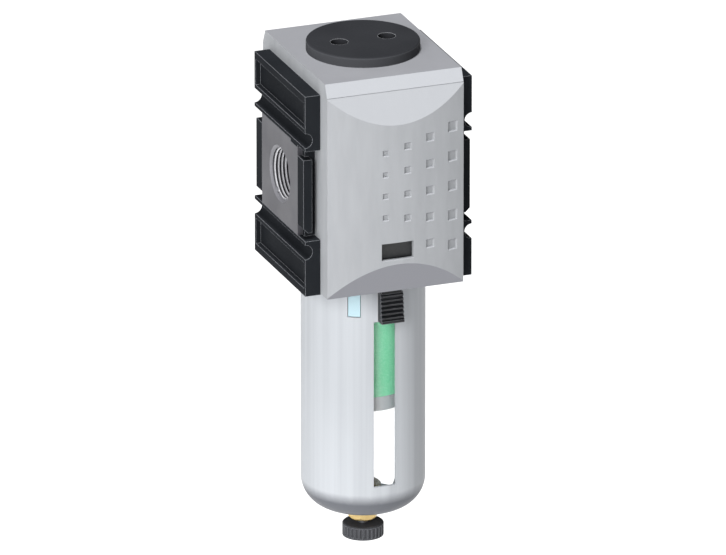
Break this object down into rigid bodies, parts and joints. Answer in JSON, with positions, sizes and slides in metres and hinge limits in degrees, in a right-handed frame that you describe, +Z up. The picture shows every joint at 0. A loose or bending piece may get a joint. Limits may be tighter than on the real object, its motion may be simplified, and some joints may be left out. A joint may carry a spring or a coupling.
{
  "type": "compressed air filter",
  "caption": "Block-assembly compressed air filter: grey bowed housing between black end frames, threaded side ports, top plug, windowed bayonet bowl, green element and turn-knob drain.",
  "frame": {"origin": "centre of the inlet port's face, on the port axis", "axes": "+X along the port axis from inlet to outlet, +Z up along the bowl's axis towards the top plug, +Y to the back, away from the cover with the window"},
  "size_m": [0.085, 0.0982, 0.2533],
  "materials": {
    "cast_aluminium": "satin",
    "light_grey_cover": "satin",
    "black_frame": "satin",
    "dark_plate": "matte",
    "plug_plastic": "satin",
    "seal_rubber": "matte",
    "cap_plastic": "satin",
    "tube_steel": "satin",
    "filter_fleece": "matte",
    "green_foam": "matte",
    "guard_metal": "satin",
    "clear_plastic": "clear",
    "latch_plastic": "satin",
    "drain_brass": "satin",
    "stem_steel": "satin",
    "knob_plastic": "satin"
  },
  "bodies": {
    "head": {"head_body": "cast_aluminium", "front_cover": "light_grey_cover", "rear_cover": "light_grey_cover", "inlet_end_frame": "black_frame", "outlet_end_frame": "black_frame", "label_plate": "dark_plate", "top_plug": "plug_plastic", "top_plug_o_ring": "seal_rubber"},
    "element_lift": {"element_neck_o_ring": "seal_rubber"},
    "element": {"element_top_cap": "cap_plastic", "element_core": "tube_steel", "element_media": "filter_fleece", "element_outer_tube": "tube_steel", "element_sleeve": "green_foam", "element_bottom_cap": "cap_plastic"},
    "bowl_lift": {"bowl_o_ring": "seal_rubber"},
    "bowl": {"bowl_guard": "guard_metal", "clear_bowl": "clear_plastic", "latch_spring": "tube_steel", "drain_body": "drain_brass", "drain_gasket": "seal_rubber", "drain_nut": "drain_brass"},
    "latch": {"latch_slider": "latch_plastic"},
    "drain_lift": {"drain_stem_o_ring": "seal_rubber"},
    "drain": {"drain_stem": "stem_steel", "drain_seal": "seal_rubber", "drain_knob": "knob_plastic"}
  },
  "joints": [
    {"name": "bowl_drop", "type": "slide", "parent": "head", "child": "bowl_lift", "axis": [0, 0, -1], "range_m": [0, 0.12]},
    {"name": "bowl_turn", "type": "hinge", "parent": "bowl_lift", "child": "bowl", "pos_m": [0.0425, 0, -0.1], "axis": [0, 0, 1], "range_deg": [0, 30]},
    {"name": "latch_slide", "type": "slide", "parent": "bowl", "child": "latch", "axis": [0, 0, -1], "range_m": [0, 0.0045], "stiffness_N_per_m": 600, "springref_m": -0.004, "deforming": ["latch_spring"]},
    {"name": "element_drop", "type": "slide", "parent": "head", "child": "element_lift", "axis": [0, 0, -1], "range_m": [0, 0.006]},
    {"name": "element_turn", "type": "hinge", "parent": "element_lift", "child": "element", "pos_m": [0.0425, 0, -0.07], "axis": [0, 0, -1], "range_deg": [0, 1080]},
    {"name": "drain_drop", "type": "slide", "parent": "bowl", "child": "drain_lift", "axis": [0, 0, -1], "range_m": [0, 0.00125]},
    {"name": "drain_turn", "type": "hinge", "parent": "drain_lift", "child": "drain", "pos_m": [0.0425, 0, -0.187], "axis": [0, 0, -1], "range_deg": [0, 360]}
  ],
  "couplings": [
    {"joint": "element_turn", "follows": "element_drop", "rad_per_m": 3141.6},
    {"joint": "drain_turn", "follows": "drain_drop", "rad_per_m": 5026.5}
  ]
}
